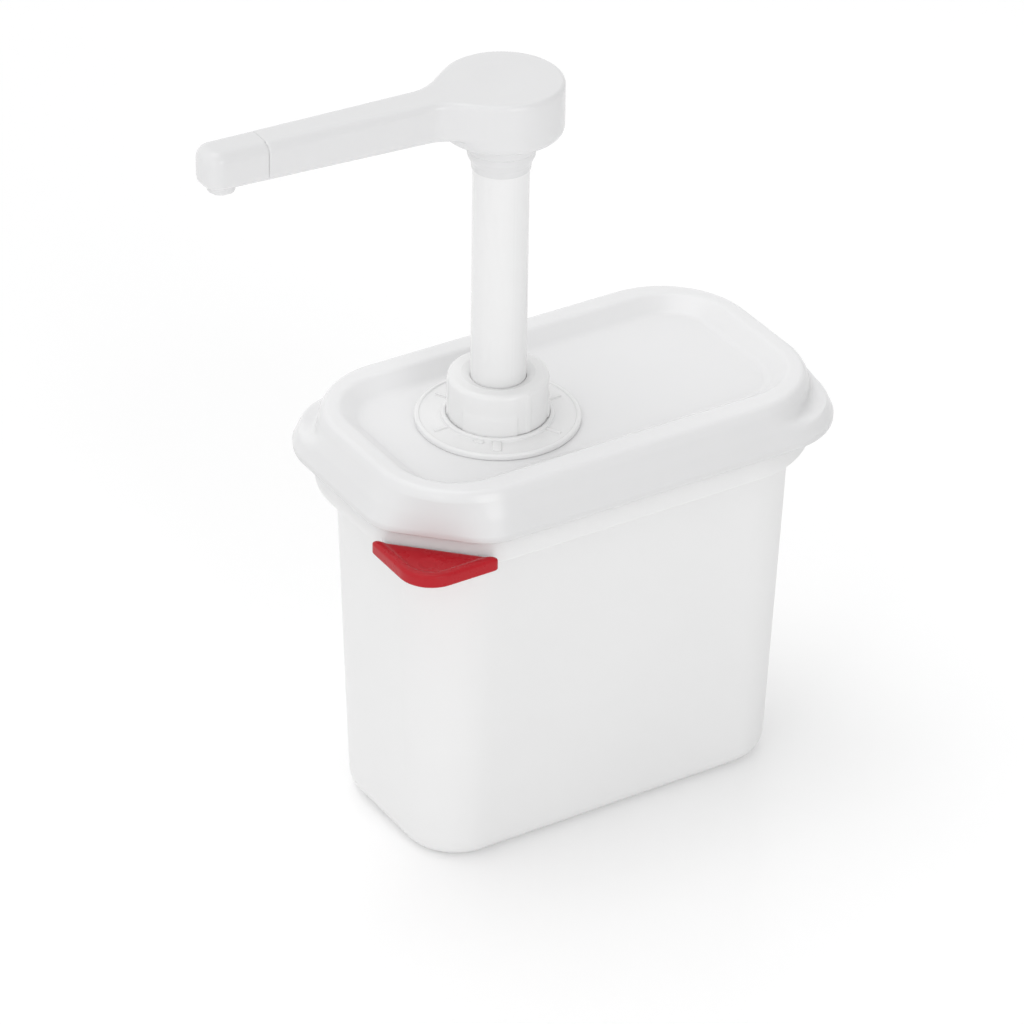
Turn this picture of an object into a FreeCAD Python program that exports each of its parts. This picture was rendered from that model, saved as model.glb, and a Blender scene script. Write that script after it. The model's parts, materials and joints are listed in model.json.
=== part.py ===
"""Condiment pump dispenser: a food container of one-ninth gastronorm footprint with a press-fit lid,
a colour clip on one corner and a plunger pump that stands in the lid.

Frame: origin at the centre of the container's base, +Z up, long side along Y, nozzle towards -Y.
Millimetres throughout. Every size is a cell of the sheet "Sizes", and every outline is tied to it.
"""
import FreeCAD
import Part
import math
import os
import re
import Sketcher
from FreeCAD import Vector

SIZES = {
    # container: a drafted tub with a flared, down-turned rim
    "base_half_x": 36.4, "base_half_y": 72.1, "corner_radius": 20.0, "base_fillet": 8.0,
    "wall_draft": 2.0, "wall": 1.6, "floor": 1.8,
    "rim_top": 141.5, "rim_bottom": 128.7, "rim_half_x": 50.2, "rim_half_y": 86.0,
    "rim_corner": 40.0, "rim_draft": 11.5, "rim_chamfer": 109.5, "chamfer_round": 18.0,
    # clip tabs on the two chamfered corners of the rim, and the clip that sleeves over one
    "clip_half_x": 53.5, "clip_half_y": 88.5, "clip_low": 129.3, "clip_high": 133.8,
    "clip_skin": 1.2, "clip_round": 12.0, "clip_face": 110.6, "clip_end": 2.5, "tab_slack": 0.15,
    "tab_inset": 1.5, "slot_depth": 6.0, "dimple_radius": 3.7, "dimple_depth": 0.5, "dimple_in": 9.6,
    # lid
    "lid_low": 137.5, "lid_top": 154.75, "lid_half_x": 52.0, "lid_half_y": 88.5, "lid_draft": 15.8,
    "lid_wall": 1.5, "lid_corner": 25.0, "lid_chamfer": 112.5, "lid_edge": 2.5,
    "panel_z": 150.0, "panel_half_x": 31.5, "panel_half_y": 69.0,
    "panel_draft": 55.8, "panel_corner": 16.0, "panel_back": 0.46, "seat_half_x": 43.6, "seat_half_y": 79.6,
    "seat_chamfer": 104.6, "seat_corner": 30.0,
    "plug_half_x": 38.4, "plug_half_y": 74.0, "plug_low": 136.0, "plug_corner": 22.0, "hole_slack": 0.3,
    # pump: every turned piece shares this axis
    "pump_y": -26.8, "arm_turn": -1.7,
    "disc_radius": 28.25, "disc_skin": 1.2, "disc_lip": 1.3, "disc_lip_top": 152.6,
    "neck_radius": 15.3, "neck_bore": 13.0, "neck_top": 159.7, "collar_radius": 18.7, "collar_top": 152.3,
    "spigot_radius": 17.6, "spigot_low": 139.5, "rib_reach": 24.5, "rib_thick": 1.2, "rib_turn": -32.2,
    "gasket_thick": 1.0, "gasket_radius": 22.5, "back_nut_radius": 22.5, "back_nut_tall": 7.0, "grip": 1.4,
    # cylinder, foot valve and dip tube
    "bore": 11.2, "barrel": 12.7, "barrel_low": 50.0, "barrel_floor": 52.0, "flange_radius": 14.9,
    "flange_thick": 1.5, "seal_thick": 0.8, "socket_radius": 9.0, "socket_low": 40.0,
    "valve_radius": 7.4, "valve_low": 38.0, "valve_top": 52.4, "valve_hole": 2.8, "valve_chamber": 5.2,
    "spigot_end": 30.0, "hose_spigot": 3.7, "cone_low": 42.0, "cone_high": 45.0,
    "cage_thick": 1.4, "cage_hole": 2.6, "inlet_ball_radius": 4.0, "inlet_ball_z": 45.14,
    "dip_radius": 5.0, "dip_bore": 3.75, "dip_low": 6.0,
    # piston and spring
    "piston_low": 139.0, "piston_high": 152.0, "piston_radius": 10.9, "piston_step": 145.0,
    "pin_radius": 7.3, "pin_bore": 7.38, "pin_low": 136.0, "passage": 5.5,
    "cup_radius": 11.15, "cup_root": 10.0, "cup_low": 141.0, "cup_high": 145.5, "cup_groove": 1.2,
    "circlip_low": 136.9, "circlip_high": 138.7, "circlip_radius": 8.4, "circlip_root": 6.9,
    "spring_radius": 9.6, "spring_wire": 0.7, "spring_pitch": 11.0, "spring_gap": 0.05,
    # guide, wiper and collar nut
    "guide_bore": 9.5, "guide_low": 154.0, "guide_skirt": 11.1, "guide_thick": 1.8,
    "wiper_low": 161.2, "wiper_tall": 2.0, "wiper_radius": 10.9, "wiper_bore": 9.48,
    "nut_radius": 17.2, "nut_bore": 15.5, "nut_low": 152.5, "nut_top": 168.0, "nut_round": 1.8,
    "nut_mouth": 12.6, "nut_throat": 10.5, "nut_funnel": 3.0,
    "pad_rise": 0.55, "pad_wide": 67.0, "pad_turn": -41.7, "pad_top": 160.4, "pad_slope": 2.0,
    "bar_wide": 8.0, "bar_turn": 4.8, "bar_top": 165.5,
    # stem, lock ring and head
    "stem_radius": 9.42, "stem_bore": 8.0, "stem_top": 262.0, "socket_bore": 9.45,
    "ring_low": 246.0, "ring_high": 253.5, "ring_radius": 11.3, "ring_taper": 3.5, "ring_foot": 10.0,
    "head_radius": 20.6, "head_low": 259.5, "head_top": 277.8, "head_round": 1.6, "head_belly": 2.5,
    "head_neck": 12.3, "dish_radius": 11.0, "dish_depth": 0.6,
    "ball_room": 8.4, "room_top": 273.0, "oring_low": 257.6, "oring_tall": 1.8, "oring_radius": 10.9,
    "oring_clear": 0.01,
    # outlet valve in the top of the stem
    "outlet_low": 249.0, "outlet_radius": 7.95, "outlet_hole": 2.5, "outlet_chamber": 4.6,
    "outlet_cone_low": 251.0, "outlet_cone_high": 253.6, "outlet_cage_thick": 1.2,
    "outlet_ball_radius": 3.5, "outlet_ball_z": 253.72,
    # arm and nozzle tip; distances run outwards from the pump axis
    "arm_half": 6.9, "arm_start": 12.0, "arm_step": 0.3, "arm_low_root": 263.5, "arm_low_end": 266.5,
    "arm_top_end": 279.4, "arm_reach": 110.0, "arm_round": 3.0, "arm_seam": 88.6, "arm_bore": 3.4,
    "arm_bore_z": 271.6, "tongue_radius": 4.6, "tongue_long": 7.0, "tip_round": 5.2,
    "spout_reach": 102.5, "spout_radius": 4.5, "spout_bore": 3.2, "spout_low": 263.6,
    "tip_oring_at": 91.2, "tip_oring_wide": 1.6, "tip_oring_deep": 0.8,
    # shared: a loose fit, a tight fit, the run of one joined block into another, the circlip's gap
    "slack": 0.1, "press": 0.05, "bite": 1.0, "circlip_gap": 3.2,
}

doc = FreeCAD.newDocument("CondimentPump")
sheet = doc.addObject("Spreadsheet::Sheet", "Sizes")
for row, (alias, size) in enumerate(SIZES.items(), 1):
    sheet.set(f"A{row}", alias)
    sheet.set(f"B{row}", str(size))
    sheet.setAlias(f"B{row}", alias)
doc.recompute()
finished = {}


# ---------------------------------------------------------------- helpers

def bound(text):
    """The expression with each size named as a cell of the sheet."""
    def cell(word):
        return f"Sizes.{word.group()}" if word.group() in SIZES else word.group()
    return re.sub(r"[a-z_]+", cell, text)


def number(text):
    """The value that an expression over the sheet has now."""
    return float(sheet.evalExpression(text))


def plane(body, role):
    return next(feature for feature in body.Origin.OriginFeatures if feature.Role == role)


def new_body(label):
    body = doc.addObject("PartDesign::Body", label)
    body.Label = label
    return body


def new_sketch(body, role="XY_Plane", lift="0"):
    """A sketch on one of the body's own planes, lifted along the plane's normal."""
    sketch = body.newObject("Sketcher::SketchObject", body.Name + "_sketch")
    sketch.AttachmentSupport = (plane(body, role), [""])
    sketch.MapMode = "FlatFace"
    sketch.setExpression("AttachmentOffset.Base.z", bound(lift))
    return sketch


def tie(sketch, corner, kind, text):
    """Holds one coordinate of a polygon's corner to its expression."""
    value = number(text)
    if abs(value) < 1e-9:
        axis = -2 if kind == "DistanceX" else -1
        sketch.addConstraint(Sketcher.Constraint("PointOnObject", corner, 1, axis))
        return
    ends = (-1, 1, corner, 1) if value > 0 else (corner, 1, -1, 1)
    made = sketch.addConstraint(Sketcher.Constraint(kind, *ends, abs(value)))
    sketch.setExpression(f"Constraints[{made}]", bound(text if value > 0 else f"-({text})"))


def polygon(sketch, corners):
    """A closed polygon; each corner is a pair of expressions."""
    points = [Vector(number(x), number(y), 0) for x, y in corners]
    count = len(points)
    for k in range(count):
        sketch.addGeometry(Part.LineSegment(points[k], points[(k + 1) % count]))
    for k in range(count):
        sketch.addConstraint(Sketcher.Constraint("Coincident", k, 2, (k + 1) % count, 1))
    for k, (x, y) in enumerate(corners):
        tie(sketch, k, "DistanceX", x)
        tie(sketch, k, "DistanceY", y)


def circle(sketch, radius, x="0", y="0"):
    centre = Vector(number(x), number(y), 0)
    made = sketch.addGeometry(Part.Circle(centre, Vector(0, 0, 1), number(radius)))
    held = sketch.addConstraint(Sketcher.Constraint("Radius", made, number(radius)))
    sketch.setExpression(f"Constraints[{held}]", bound(radius))
    for kind, text in (("DistanceX", x), ("DistanceY", y)):
        value = number(text)
        if abs(value) < 1e-9:
            axis = -2 if kind == "DistanceX" else -1
            sketch.addConstraint(Sketcher.Constraint("PointOnObject", made, 3, axis))
            continue
        ends = (-1, 1, made, 3) if value > 0 else (made, 3, -1, 1)
        held = sketch.addConstraint(Sketcher.Constraint(kind, *ends, abs(value)))
        sketch.setExpression(f"Constraints[{held}]", bound(text if value > 0 else f"-({text})"))


def pad(body, sketch, length, draft="0", midplane=False):
    feature = body.newObject("PartDesign::Pad", body.Name + "_pad")
    feature.Profile = sketch
    feature.setExpression("Length", bound(length))
    feature.setExpression("TaperAngle", bound(draft))
    feature.Midplane = midplane
    doc.recompute()
    return feature


def pocket(body, sketch, length, draft="0"):
    """Cuts from the sketch down into the solid, and makes sure that it did."""
    before = body.Shape.Volume
    feature = body.newObject("PartDesign::Pocket", body.Name + "_pocket")
    feature.Profile = sketch
    feature.setExpression("Length", bound(length))
    feature.setExpression("TaperAngle", bound(draft))
    doc.recompute()
    if body.Shape.Volume >= before:
        raise ValueError(f"{feature.Label} cuts nothing")
    return feature


def round_edges(body, radius, chosen):
    """Fillets the edges of the body's last solid that the test picks."""
    base = body.Tip
    names = [f"Edge{k}" for k, edge in enumerate(base.Shape.Edges, 1) if chosen(edge)]
    if not names:
        raise ValueError(f"no edge to round on {body.Label}")
    feature = body.newObject("PartDesign::Fillet", body.Name + "_fillet")
    feature.Base = (base, names)
    feature.setExpression("Radius", bound(radius))
    doc.recompute()
    return feature


def around(body, feature, count):
    """Repeats a feature evenly round the body's Z axis."""
    pattern = body.newObject("PartDesign::PolarPattern", body.Name + "_pattern")
    pattern.Originals = [feature]
    pattern.Axis = (plane(body, "Z_Axis"), [""])
    pattern.Angle = 360
    pattern.Occurrences = count
    body.Tip = pattern
    doc.recompute()
    return pattern


def upright(edge):
    """True for an edge that climbs, such as a drafted corner."""
    ends = [vertex.Point for vertex in edge.Vertexes]
    return len(ends) == 2 and abs(ends[0].z - ends[1].z) > 0.5 * edge.Length


def level_at(edge, height):
    box = edge.BoundBox
    return abs(box.ZMin - height) < 0.01 and abs(box.ZMax - height) < 0.01


def rounded(sketch, corners):
    """A closed polygon whose corners are (x, y, radius), each one rounded by an arc."""
    polygon(sketch, [(x, y) for x, y, radius in corners])
    for k, (x, y, radius) in enumerate(corners):
        first_new = sketch.GeometryCount
        sketch.fillet(k, 1, number(radius), True, True)
        arc = next(g for g in range(first_new, sketch.GeometryCount)
                   if sketch.Geometry[g].TypeId == "Part::GeomArcOfCircle")
        held = sketch.addConstraint(Sketcher.Constraint("Radius", arc, number(radius)))
        sketch.setExpression(f"Constraints[{held}]", bound(radius))


def block(label, corners, low, height, draft="0"):
    """A rounded outline padded up from a height, widening by its draft."""
    body = new_body(label)
    sketch = new_sketch(body, lift=low)
    rounded(sketch, corners)
    pad(body, sketch, height, draft)
    return body


def box_outline(half_x, low_y, high_y, corner):
    return [(f"-({half_x})", low_y, corner), (half_x, low_y, corner), (half_x, high_y, corner),
            (f"-({half_x})", high_y, corner)]


def cut_corner_outline(half_x, half_y, chamfer, corner, chamfer_round):
    """An oblong that is round at two opposite corners and cut at 45 degrees at the other two."""
    corners = []
    for here, across in (("-", ""), ("", "-")):
        corners += [(f"{here}({half_x})", f"{here}({half_y})", corner),
                    (f"{across}({chamfer} - ({half_y}))", f"{here}({half_y})", chamfer_round),
                    (f"{across}({half_x})", f"{here}({chamfer} - ({half_x}))", chamfer_round)]
    return corners


def boolean(kind, label, first, *others):
    """A chain of Part::Cut, Part::Fuse or Part::Common over finished shapes."""
    result = first
    for k, other in enumerate(others):
        step = doc.addObject(f"Part::{kind}", f"{label}_{kind}{k}".replace(" ", "_"))
        step.Base = result
        step.Tool = other
        result = step
    result.Label = label
    doc.recompute()
    return result


def cylinder(label, radius, low, height, x="0", y="0"):
    rod = doc.addObject("Part::Cylinder", label)
    for name, text in (("Radius", radius), ("Height", height), ("Placement.Base.x", x),
                       ("Placement.Base.y", y), ("Placement.Base.z", low)):
        rod.setExpression(name, bound(text))
    return rod


def on_pump_axis(part, turn="0"):
    """Stands a piece on the pump's axis, turned about it."""
    part.setExpression("Placement.Base.y", bound("pump_y"))
    part.Placement.Rotation = FreeCAD.Rotation(Vector(0, 0, 1), number(turn))
    return part


def turned(label, profile):
    """A piece turned about Z; the profile's corners are (radius, height)."""
    body = new_body(label)
    sketch = new_sketch(body, "XZ_Plane")
    polygon(sketch, profile)
    feature = body.newObject("PartDesign::Revolution", label + "_turn")
    feature.Profile = sketch
    feature.ReferenceAxis = (sketch, ["V_Axis"])
    feature.Angle = 360
    doc.recompute()
    return body


def ring(label, inner, outer, low, high):
    return turned(label, [(inner, low), (outer, low), (outer, high), (inner, high)])


def keep(part, label=None):
    """Counts a piece as one of the object's own nodes."""
    part.Label = label or part.Label
    finished[part.Label] = part
    return part


# ---------------------------------------------------------------- container, clip and lid

def tub(label, inset, low):
    """The tub's drafted block, inset by a wall from the outside one."""
    half_x, half_y = f"base_half_x - {inset}", f"base_half_y - {inset}"
    outline = box_outline(half_x, f"-({half_y})", half_y, f"corner_radius - {inset}")
    body = block(label, outline, low, "rim_top", "wall_draft")
    foot = number(low)
    round_edges(body, f"base_fillet - {inset}", lambda edge: level_at(edge, foot))
    return body


def make_container():
    outside = tub("tub_outside", "0", "0")
    inside = tub("tub_inside", "wall", "floor")
    above = doc.addObject("Part::Box", "above_rim")
    for name, text in (("Length", "4 * rim_half_x"), ("Width", "4 * rim_half_y"), ("Height", "rim_top"),
                       ("Placement.Base.x", "-2 * rim_half_x"), ("Placement.Base.y", "-2 * rim_half_y"),
                       ("Placement.Base.z", "rim_top")):
        above.setExpression(name, bound(text))
    rim_outside = block("rim_outside", rim_outline("0"), "rim_bottom", "rim_top - rim_bottom", "-rim_draft")
    rim_inside = block("rim_inside", rim_outline("wall"), "rim_bottom", "rim_top - rim_bottom - wall",
                       "-rim_draft")
    rim = boolean("Cut", "rim_shell", rim_outside, rim_inside)
    tabs = [clip_tab("clip_tab_near", ""), clip_tab("clip_tab_far", "-")]
    solid = boolean("Fuse", "container_solid", outside, rim, *tabs)
    return keep(boolean("Cut", "container", solid, inside, above))


def rim_outline(inset):
    return cut_corner_outline(f"rim_half_x - {inset}", f"rim_half_y - {inset}",
                              f"rim_chamfer - sqrt(2) * {inset}", f"rim_corner - {inset}",
                              f"chamfer_round - {inset}")


def corner_triangle(inset, face, corner, side=""):
    """The right-angled corner at +X, -Y, or the opposite one, inset from the legs, out to a diagonal face."""
    other = "" if side else "-"
    x, y = f"(clip_half_x - {inset})", f"(clip_half_y - {inset})"
    return [(f"{side}({face} - {y})", f"{other}{y}", "clip_end"), (f"{side}{x}", f"{other}{y}", corner),
            (f"{side}{x}", f"{other}({face} - {x})", "clip_end")]


def clip_tab(label, side):
    outline = corner_triangle("(clip_skin + 4 * tab_slack)", "(rim_chamfer - tab_inset)",
                              "clip_round - clip_skin", side)
    return block(label, outline, "clip_low + clip_skin + tab_slack",
                 "clip_high - clip_low - 2 * clip_skin - 2 * tab_slack")


def make_clip():
    legs = block("clip_block", corner_triangle("0", "clip_face", "clip_round"), "clip_low",
                 "clip_high - clip_low")
    hollow = corner_triangle("clip_skin", "(rim_chamfer - slot_depth)", "clip_round - clip_skin")
    slot = block("clip_slot", hollow, "clip_low + clip_skin", "clip_high - clip_low - 2 * clip_skin")
    dimple = cylinder("clip_dimple", "dimple_radius", "clip_high - dimple_depth", "2 * dimple_depth",
                      "clip_half_x - dimple_in", "-(clip_half_y - dimple_in)")
    return keep(boolean("Cut", "colour_clip", legs, slot, dimple))


def make_lid():
    shell = block("lid_outside", lid_outline("0"), "lid_low", "lid_top - lid_low", "-lid_draft")
    top = number("lid_top")
    round_edges(shell, "lid_edge", lambda edge: level_at(edge, top))
    hollow = block("lid_hollow", lid_outline("lid_wall"), "lid_low", "lid_top - lid_low - lid_wall",
                   "-lid_draft")
    well = panel_block("lid_well", "0", "panel_z", "lid_top - panel_z")
    boss = panel_block("lid_boss", "panel_back", "panel_z - lid_wall", "lid_top - panel_z")
    hollow = boolean("Cut", "lid_space", hollow, boss)
    body = boolean("Cut", "lid_shell", shell, hollow)
    seat = boolean("Common", "lid_seat_trimmed", lid_rib("lid_seat", seat_outline, "rim_top"), shell)
    body = boolean("Fuse", "lid_ribbed", body, seat, lid_rib("lid_plug", plug_outline, "plug_low"))
    hole = cylinder("lid_hole", "spigot_radius + hole_slack", "panel_z - 2 * lid_wall", "4 * lid_wall",
                    y="pump_y")
    return keep(boolean("Cut", "lid", body, well, hole))


def lid_outline(inset):
    return cut_corner_outline(f"lid_half_x - {inset}", f"lid_half_y - {inset}",
                              f"lid_chamfer - sqrt(2) * {inset}", f"lid_corner - {inset}",
                              f"chamfer_round - {inset}")


def panel_block(label, grow, low, height):
    """The recessed panel's outline as a block that widens upwards."""
    half_y = f"panel_half_y + {grow}"
    outline = box_outline(f"panel_half_x + {grow}", f"-({half_y})", half_y, f"panel_corner + {grow}")
    return block(label, outline, low, height, "panel_draft")


def seat_outline(inset):
    """Follows the flat top of the rim."""
    return cut_corner_outline(f"seat_half_x - {inset}", f"seat_half_y - {inset}",
                              f"seat_chamfer - sqrt(2) * {inset}", f"seat_corner - {inset}",
                              f"chamfer_round - {inset}")


def plug_outline(inset):
    """Follows the inside of the mouth."""
    half_y = f"plug_half_y - {inset}"
    return box_outline(f"plug_half_x - {inset}", f"-({half_y})", half_y, f"plug_corner - {inset}")


def lid_rib(label, outline_at, low):
    """A wall a lid's wall thick, from the lid's underside down."""
    height = f"lid_top - lid_wall - {low} + 2 * slack"
    outside = block(label + "_outside", outline_at("0"), low, height)
    inside = block(label + "_inside", outline_at("lid_wall"), low, height)
    return boolean("Cut", label, outside, inside)


# ---------------------------------------------------------------- pump fixed in the lid

def make_flange():
    body = turned("pump_flange", [
        ("neck_bore", "spigot_low"), ("spigot_radius", "spigot_low"), ("spigot_radius", "panel_z"),
        ("disc_radius", "panel_z"), ("disc_radius", "disc_lip_top"), ("disc_radius - disc_lip", "disc_lip_top"),
        ("disc_radius - disc_lip", "panel_z + disc_skin"), ("collar_radius", "panel_z + disc_skin"),
        ("collar_radius", "collar_top"), ("neck_radius", "collar_top"), ("neck_radius", "neck_top"),
        ("neck_bore", "neck_top")])
    sketch = new_sketch(body, lift="panel_z + 0.5 * disc_skin")
    polygon(sketch, [("neck_radius + bite", "-0.5 * rib_thick"), ("rib_reach", "-0.5 * rib_thick"),
                     ("rib_reach", "0.5 * rib_thick"), ("neck_radius + bite", "0.5 * rib_thick")])
    rib = pad(body, sketch, "collar_top - panel_z - 0.5 * disc_skin")
    around(body, rib, 6)
    return keep(on_pump_axis(body, "rib_turn"))


def make_lid_fastening():
    under = "panel_z - lid_wall"
    gasket = ring("flange_gasket", "spigot_radius + slack", "gasket_radius", f"{under} - gasket_thick", under)
    keep(on_pump_axis(gasket))
    high = f"{under} - gasket_thick"
    nut = ring("back_nut", "spigot_radius + slack", "back_nut_radius", f"{high} - back_nut_tall", high)
    sketch = new_sketch(nut, lift=f"{high} - back_nut_tall")
    polygon(sketch, [("back_nut_radius - bite", "-grip"), ("back_nut_radius + grip", "-grip"),
                     ("back_nut_radius + grip", "grip"), ("back_nut_radius - bite", "grip")])
    lug = pad(nut, sketch, "back_nut_tall")
    around(nut, lug, 8)
    keep(on_pump_axis(nut))


def make_cylinder():
    seat = "neck_top + seal_thick"
    keep(on_pump_axis(turned("pump_cylinder", [
        ("valve_radius + press", "socket_low"), ("socket_radius", "socket_low"), ("socket_radius", "barrel_low"),
        ("barrel", "barrel_low"), ("barrel", seat), ("flange_radius", seat),
        ("flange_radius", f"{seat} + flange_thick"), ("bore", f"{seat} + flange_thick"), ("bore", "barrel_floor"),
        ("valve_radius + press", "barrel_floor")])))
    keep(on_pump_axis(ring("cylinder_gasket", "barrel + slack", "flange_radius", "neck_top", seat)))


def make_foot_valve():
    keep(on_pump_axis(turned("foot_valve", [
        ("valve_hole", "spigot_end"), ("hose_spigot", "spigot_end"), ("hose_spigot", "valve_low"),
        ("valve_radius", "valve_low"), ("valve_radius", "valve_top"), ("valve_chamber", "valve_top"),
        ("valve_chamber", "cone_high"), ("valve_hole", "cone_low")])))
    make_cage("inlet_ball_cage", "valve_radius", "valve_top", "cage_thick", "cage_hole")
    keep(on_pump_axis(ball("inlet_ball", "inlet_ball_radius", "inlet_ball_z")))
    tube = ring("dip_tube", "dip_bore", "dip_radius", "dip_low", "valve_low")
    sketch = new_sketch(tube, "XZ_Plane", "-2 * dip_radius")
    polygon(sketch, [("-dip_bore", "dip_low - bite"), ("dip_bore", "dip_low - bite"),
                     ("0", "dip_low + dip_bore")])
    notch(tube, sketch)
    keep(on_pump_axis(tube))


def notch(body, sketch):
    """A cut right through the body, both ways from its sketch."""
    before = body.Shape.Volume
    cut = body.newObject("PartDesign::Pocket", body.Name + "_notch")
    cut.Profile = sketch
    cut.Type = 1
    cut.Midplane = True
    doc.recompute()
    if body.Shape.Volume >= before:
        raise ValueError(f"{cut.Label} cuts nothing")


def make_cage(label, radius, low, thick, hole):
    """A disc with three holes that lets liquid by and stops the ball."""
    body = new_body(label)
    sketch = new_sketch(body, lift=low)
    circle(sketch, radius)
    pad(body, sketch, thick)
    sketch = new_sketch(body, lift=f"{low} + {thick}")
    circle(sketch, f"0.35 * {radius}", x=f"0.55 * {radius}")
    around(body, pocket(body, sketch, f"2 * {thick}"), 3)
    return keep(on_pump_axis(body))


def ball(label, radius, height):
    sphere = doc.addObject("Part::Sphere", label)
    sphere.setExpression("Radius", bound(radius))
    sphere.setExpression("Placement.Base.z", bound(height))
    return sphere


def make_guide():
    low = "neck_top + seal_thick + flange_thick"
    keep(on_pump_axis(turned("stem_guide", [
        ("guide_bore", "guide_low"), ("guide_skirt", "guide_low"), ("guide_skirt", low), ("flange_radius", low),
        ("flange_radius", f"{low} + guide_thick"), ("wiper_radius", f"{low} + guide_thick"),
        ("wiper_radius", "wiper_low"), ("guide_bore", "wiper_low")])))
    keep(on_pump_axis(ring("stem_wiper", "wiper_bore", "wiper_radius", "wiper_low", "wiper_low + wiper_tall")))


def make_collar_nut():
    ceiling = "neck_top + seal_thick + flange_thick + guide_thick"
    body = turned("collar_nut", [
        ("nut_bore", "nut_low"), ("nut_radius", "nut_low"), ("nut_radius", "nut_top"), ("nut_mouth", "nut_top"),
        ("nut_throat", "nut_top - nut_funnel"), ("nut_throat", ceiling), ("nut_bore", ceiling)])
    top = number("nut_top")
    rim = number("nut_radius")
    round_edges(body, "nut_round", lambda e: level_at(e, top) and e.BoundBox.XLength > 2 * rim - 0.1)
    nut_grip(body, "nut_pad", "pad_turn", "pad_wide", "pad_top")
    nut_grip(body, "nut_bar", "bar_turn", "bar_wide", "bar_top")
    return keep(on_pump_axis(body))


def nut_grip(body, label, turn, wide, top):
    """Three raised lands round the nut, each one sloping back into it at its top."""
    sketch = new_sketch(body, "XZ_Plane")
    about_axis = FreeCAD.Rotation(Vector(0, 1, 0), number(turn))
    sketch.AttachmentOffset = FreeCAD.Placement(Vector(0, 0, 0), about_axis)
    polygon(sketch, [("nut_radius - bite", "nut_low"), ("nut_radius + pad_rise", "nut_low"),
                     ("nut_radius + pad_rise", f"{top} - pad_slope"), ("nut_radius", top),
                     ("nut_radius - bite", top)])
    land = body.newObject("PartDesign::Revolution", label)
    land.Profile = sketch
    land.ReferenceAxis = (sketch, ["V_Axis"])
    land.setExpression("Angle", bound(wide))
    land.Midplane = True
    doc.recompute()
    around(body, land, 3)


# ---------------------------------------------------------------- parts that move

def helix_arc(radius, pitch, start, turn):
    """A short arc of a helix about Z, with the helix's own direction at both ends."""
    rise = pitch / (2 * math.pi)
    points = []
    for step in range(5):
        angle = start + turn * step / 4
        points.append(Vector(radius * math.cos(angle), radius * math.sin(angle), rise * angle))
    ends = [Vector(-radius * math.sin(angle), radius * math.cos(angle), rise)
            for angle in (start, start + turn)]
    arc = Part.BSplineCurve()
    arc.interpolate(points, InitialTangent=ends[0].normalize(), FinalTangent=ends[1].normalize())
    return arc.toShape()


def make_spring():
    """The return spring, in quarter turns, between the cylinder's floor and the piston."""
    wire, radius, pitch = number("spring_wire"), number("spring_radius"), number("spring_pitch")
    gap = wire + number("spring_gap")
    low, high = number("barrel_floor") + gap, number("piston_low") - gap
    whole_turn = 2 * math.pi * (high - low) / pitch
    arcs = round(whole_turn / (0.5 * math.pi))
    turn = whole_turn / arcs
    path = Part.Wire([helix_arc(radius, pitch, turn * n, turn) for n in range(arcs)])
    slope = math.atan2(pitch, 2 * math.pi * radius)
    section = Part.makeCircle(wire, Vector(radius, 0, 0), Vector(0, math.cos(slope), math.sin(slope)))
    spring = doc.addObject("Part::Feature", "return_spring")
    spring.Shape = path.makePipeShell([Part.Wire(section)], True, True)
    spring.Placement.Base = Vector(0, number("pump_y"), low)
    return keep(spring)


def make_piston():
    keep(on_pump_axis(turned("piston_body", [
        ("pin_bore", "piston_low"), ("piston_radius", "piston_low"), ("piston_radius", "cup_low"),
        ("cup_root", "cup_low"), ("cup_root", "cup_high"), ("piston_radius", "cup_high"),
        ("piston_radius", "piston_high"), ("guide_bore", "piston_high"), ("guide_bore", "piston_step"),
        ("pin_bore", "piston_step")])))
    keep(on_pump_axis(turned("piston_cup_seal", [
        ("cup_root", "cup_low"), ("piston_radius", "cup_low"), ("cup_radius", "cup_low + cup_groove"),
        ("cup_radius", "cup_high - cup_groove"), ("piston_radius", "cup_high"), ("cup_root", "cup_high")])))


def make_stem():
    step = "piston_step + slack"
    keep(on_pump_axis(turned("stem_tube", [
        ("passage", "pin_low"), ("pin_radius", "pin_low"), ("pin_radius", "circlip_low"),
        ("circlip_root", "circlip_low"), ("circlip_root", "circlip_high"), ("pin_radius", "circlip_high"),
        ("pin_radius", step), ("stem_radius", step), ("stem_radius", "stem_top"), ("stem_bore", "stem_top"),
        ("stem_bore", f"{step} + 3 * bite"), ("passage", f"{step} + bite")]), "arm_turn"))
    circlip = ring("stem_circlip", "circlip_root + press", "circlip_radius", "circlip_low + slack",
                   "circlip_high - slack")
    sketch = new_sketch(circlip, lift="circlip_high + bite")
    side = "0.5 * circlip_gap"
    polygon(sketch, [("0", f"-{side}"), ("2 * circlip_radius", f"-{side}"), ("2 * circlip_radius", side),
                     ("0", side)])
    pocket(circlip, sketch, "circlip_high - circlip_low + 2 * bite")
    keep(on_pump_axis(circlip))
    keep(on_pump_axis(turned("stem_lock_ring", [
        ("socket_bore", "ring_low"), ("ring_foot", "ring_low"), ("ring_radius", "ring_low + ring_taper"),
        ("ring_radius", "ring_high"), ("socket_bore", "ring_high")])))


def make_outlet_valve():
    keep(on_pump_axis(turned("outlet_valve_seat", [
        ("outlet_hole", "outlet_low"), ("outlet_radius", "outlet_low"), ("outlet_radius", "stem_top"),
        ("outlet_chamber", "stem_top"), ("outlet_chamber", "outlet_cone_high"),
        ("outlet_hole", "outlet_cone_low")])))
    make_cage("outlet_ball_cage", "outlet_radius", "stem_top", "outlet_cage_thick", "cage_hole")
    keep(on_pump_axis(ball("outlet_ball", "outlet_ball_radius", "outlet_ball_z")))


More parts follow.
